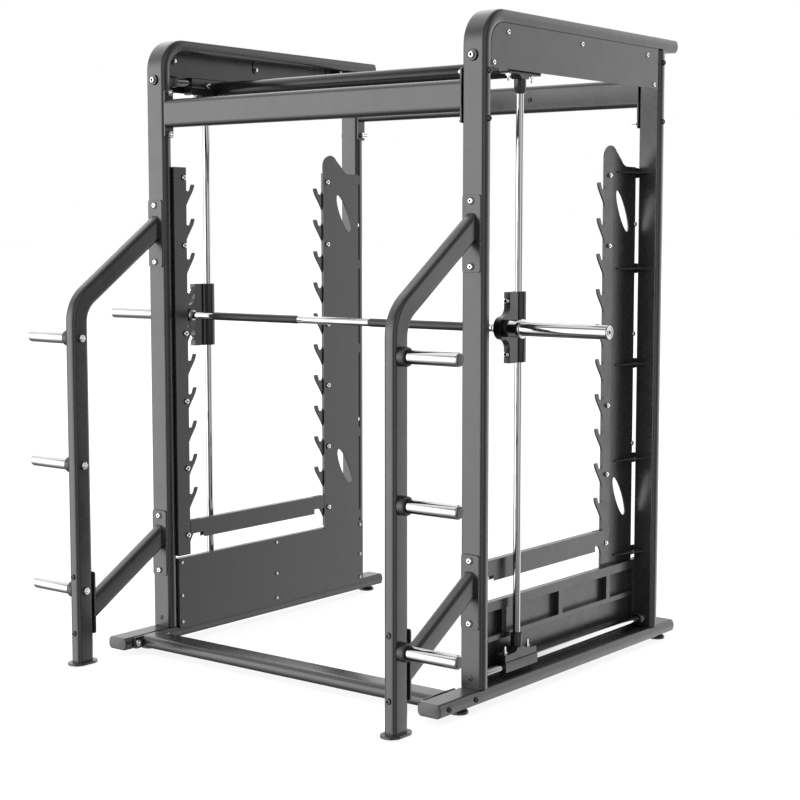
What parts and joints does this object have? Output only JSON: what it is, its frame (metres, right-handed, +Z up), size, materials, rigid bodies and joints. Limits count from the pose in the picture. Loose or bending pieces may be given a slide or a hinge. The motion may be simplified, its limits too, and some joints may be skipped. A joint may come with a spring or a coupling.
{
  "type": "smith machine",
  "caption": "Free-standing smith machine: a barbell slides on two vertical rods whose gantry travels front to back between hook racks, with safety bars and plate storage horns.",
  "frame": {"origin": "on the floor, in the middle of the footprint", "axes": "+X to the user's right along the bar, +Y towards the back of the machine, +Z up"},
  "size_m": [2.2, 1.6984, 2.202],
  "materials": {
    "frame_coat": "satin charcoal powder coat",
    "panel_coat": "matt charcoal powder coat",
    "housing_coat": "satin black",
    "chrome": "polished",
    "bearing_steel": "ground",
    "rubber": "matt",
    "end_plastic": "matt"
  },
  "bodies": {
    "root": {"base_cross_tube": "frame_coat", "front_cross_beam": "frame_coat", "left_base_rail": "frame_coat", "left_bottom_horn": "chrome", "left_front_foot": "rubber", "left_front_hook_strip": "frame_coat", "left_front_rail_cap": "end_plastic", "left_front_upright": "frame_coat", "left_lower_cover": "panel_coat", "left_lower_guide_rod": "chrome", "left_middle_horn": "chrome", "left_rear_foot": "rubber", "left_rear_hook_strip": "frame_coat", "left_rear_rack_plate": "frame_coat", "left_rear_rail_cap": "end_plastic", "left_rear_upright": "frame_coat", "left_side_frame": "frame_coat", "left_side_panel": "panel_coat", "left_storage_brace": "frame_coat", "left_storage_post": "frame_coat", "left_top_horn": "chrome", "left_upper_guide_rod": "chrome", "rear_cross_beam": "frame_coat", "right_base_rail": "frame_coat", "right_bottom_horn": "chrome", "right_front_foot": "rubber", "right_front_hook_strip": "frame_coat", "right_front_rail_cap": "end_plastic", "right_front_upright": "frame_coat", "right_lower_cover": "panel_coat", "right_lower_guide_rod": "chrome", "right_middle_horn": "chrome", "right_rear_foot": "rubber", "right_rear_hook_strip": "frame_coat", "right_rear_rack_plate": "frame_coat", "right_rear_rail_cap": "end_plastic", "right_rear_upright": "frame_coat", "right_side_frame": "frame_coat", "right_side_panel": "panel_coat", "right_storage_brace": "frame_coat", "right_storage_post": "frame_coat", "right_top_horn": "chrome", "right_upper_guide_rod": "chrome"},
    "gantry": {"sync_tube": "frame_coat", "left_upper_carriage": "housing_coat", "left_lower_carriage": "housing_coat", "left_vertical_rod": "chrome", "right_upper_carriage": "housing_coat", "right_lower_carriage": "housing_coat", "right_vertical_rod": "chrome"},
    "barbell": {"left_rod_housing": "housing_coat", "left_linear_bearing": "bearing_steel", "right_rod_housing": "housing_coat", "right_linear_bearing": "bearing_steel"},
    "bar": {"barbell_bar": "chrome"},
    "left_sleeve": {"left_bar_sleeve": "chrome"},
    "right_sleeve": {"right_bar_sleeve": "chrome"},
    "left_safety": {"left_safety_bar": "frame_coat"},
    "right_safety": {"right_safety_bar": "frame_coat"}
  },
  "joints": [
    {"name": "gantry_travel", "type": "slide", "parent": "root", "child": "gantry", "axis": [0, 1, 0], "range_m": [0, 0.637]},
    {"name": "barbell_lift", "type": "slide", "parent": "gantry", "child": "barbell", "axis": [0, 0, 1], "range_m": [-0.7, 0.625]},
    {"name": "bar_spin", "type": "hinge", "parent": "barbell", "child": "bar", "pos_m": [0, -0.24615, 1.208], "axis": [1, 0, 0], "continuous": true},
    {"name": "left_sleeve_spin", "type": "hinge", "parent": "barbell", "child": "left_sleeve", "pos_m": [-0.9, -0.24615, 1.208], "axis": [1, 0, 0], "continuous": true},
    {"name": "right_sleeve_spin", "type": "hinge", "parent": "barbell", "child": "right_sleeve", "pos_m": [0.9, -0.24615, 1.208], "axis": [1, 0, 0], "continuous": true},
    {"name": "left_safety_lift", "type": "slide", "parent": "root", "child": "left_safety", "axis": [0, 0, 1], "range_m": [0, 0.04]},
    {"name": "right_safety_lift", "type": "slide", "parent": "root", "child": "right_safety", "axis": [0, 0, 1], "range_m": [0, 0.04]}
  ]
}
